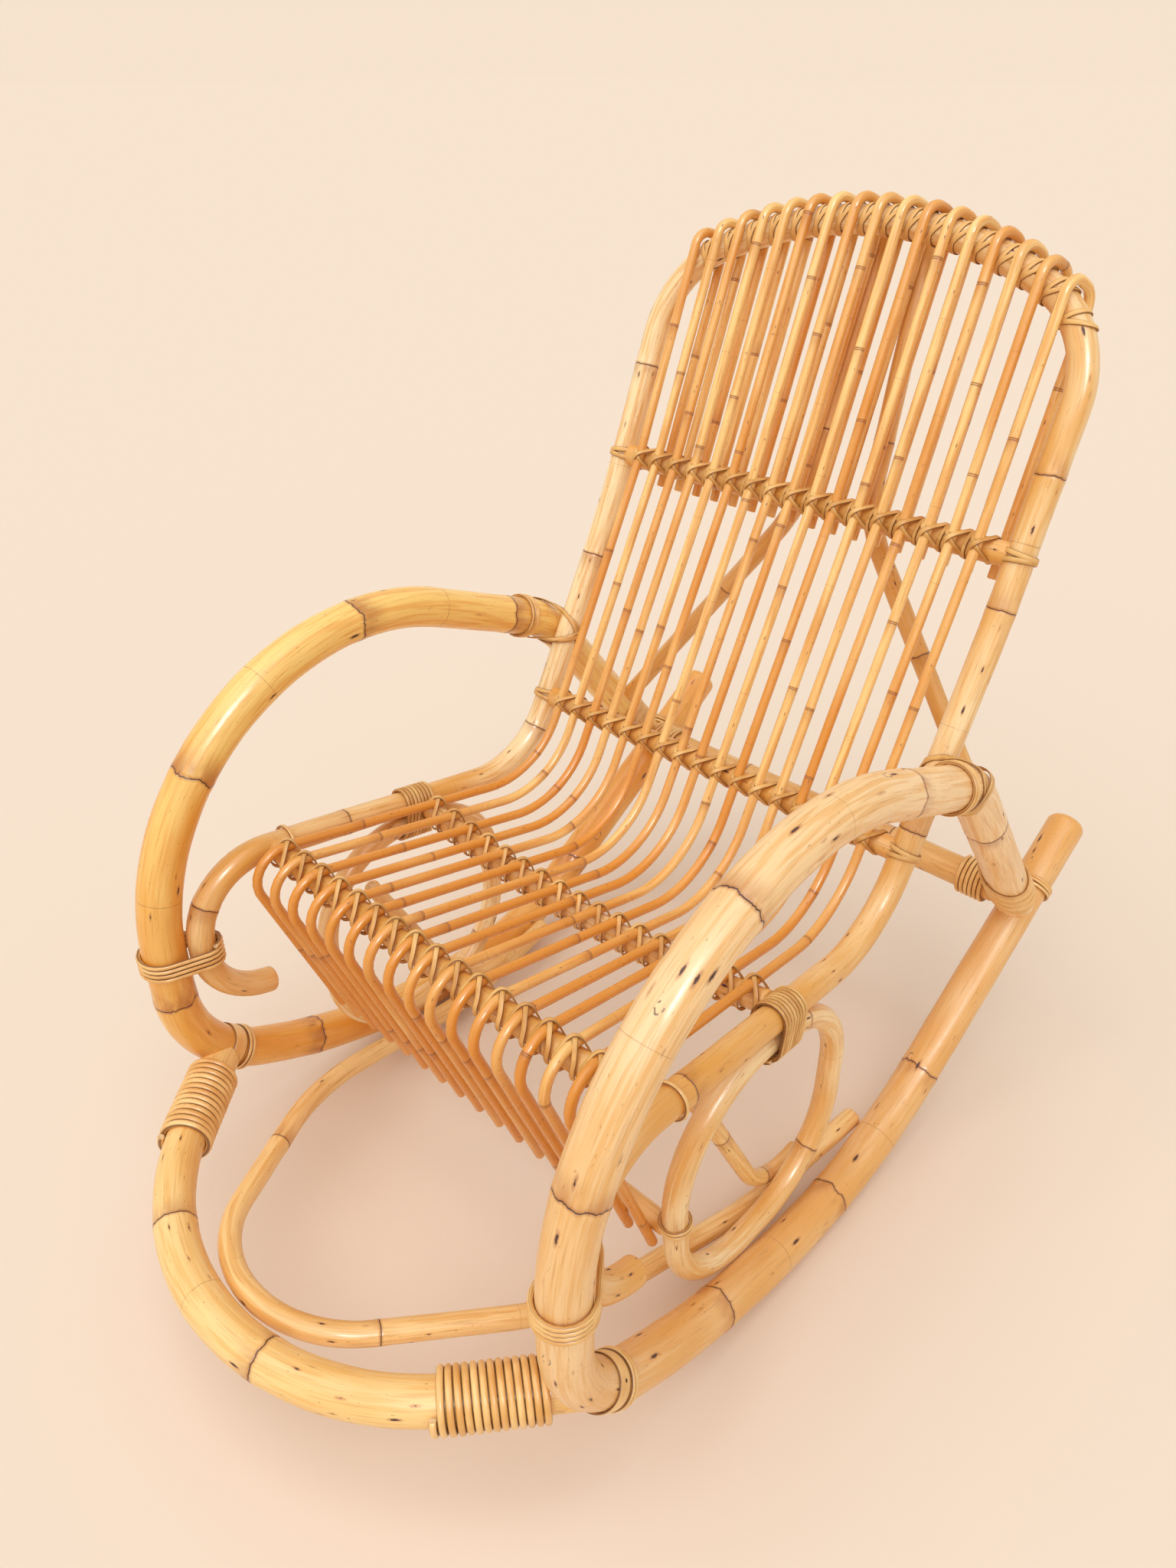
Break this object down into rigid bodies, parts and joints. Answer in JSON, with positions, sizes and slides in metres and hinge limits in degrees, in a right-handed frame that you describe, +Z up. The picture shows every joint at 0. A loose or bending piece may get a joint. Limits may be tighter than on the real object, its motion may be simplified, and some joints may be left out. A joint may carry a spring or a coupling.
{
  "type": "rocking chair",
  "caption": "Rocking chair of bent poles: each arm runs on into its curved runner, and slim rods lashed to cross bars make the seat and the arched back.",
  "frame": {"origin": "centre of the outline on the floor, where the runners stand", "axes": "+X to the sitter's left, -Y the way the sitter faces, +Z up"},
  "size_m": [0.6194, 1.0621, 0.9488],
  "materials": {
    "pale_pole": "satin pale straw bamboo",
    "frame_pole": "satin honey bamboo",
    "thin_pole": "satin tan bamboo",
    "rod": "glossy honey rattan",
    "cane": "matte tan split cane"
  },
  "bodies": {
    "root": {"front_stretcher": "pale_pole", "inner_brace": "thin_pole", "seat_back_frame": "frame_pole", "rear_crossbar": "thin_pole", "upper_back_bar": "frame_pole", "lower_back_bar": "frame_pole", "mid_seat_bar": "frame_pole", "front_seat_bar": "frame_pole", "apron_bar": "thin_pole", "upper_bar_lashings": "cane", "lower_bar_lashings": "cane", "mid_bar_lashings": "cane", "front_bar_lashings": "cane", "rod_01": "rod", "rod_02": "rod", "rod_03": "rod", "rod_04": "rod", "rod_05": "rod", "rod_06": "rod", "rod_07": "rod", "rod_08": "rod", "rod_09": "rod", "rod_10": "rod", "rod_11": "rod", "rod_12": "rod", "rod_13": "rod", "rod_14": "rod", "rod_15": "rod", "rod_16": "rod", "rod_17": "rod", "arm_runner_left": "pale_pole", "arm_runner_right": "pale_pole", "side_ring_left": "thin_pole", "side_ring_right": "thin_pole", "inner_stay_left": "thin_pole", "inner_stay_right": "thin_pole", "back_strut_left": "thin_pole", "back_strut_right": "thin_pole", "stretcher_coil_left": "cane", "stretcher_coil_right": "cane", "crossbar_coil_left": "cane", "crossbar_coil_right": "cane", "rail_wrap_left": "cane", "rail_wrap_right": "cane", "curl_wrap_left": "cane", "curl_wrap_right": "cane", "arm_foot_wrap_left": "cane", "arm_foot_wrap_right": "cane", "runner_strap_left": "cane", "runner_strap_right": "cane", "arm_band_left": "cane", "arm_band_right": "cane", "apron_tie_left": "cane", "apron_tie_right": "cane", "rail_band_left": "cane", "rail_band_right": "cane", "toe_band_left": "cane", "toe_band_right": "cane"}
  },
  "joints": []
}
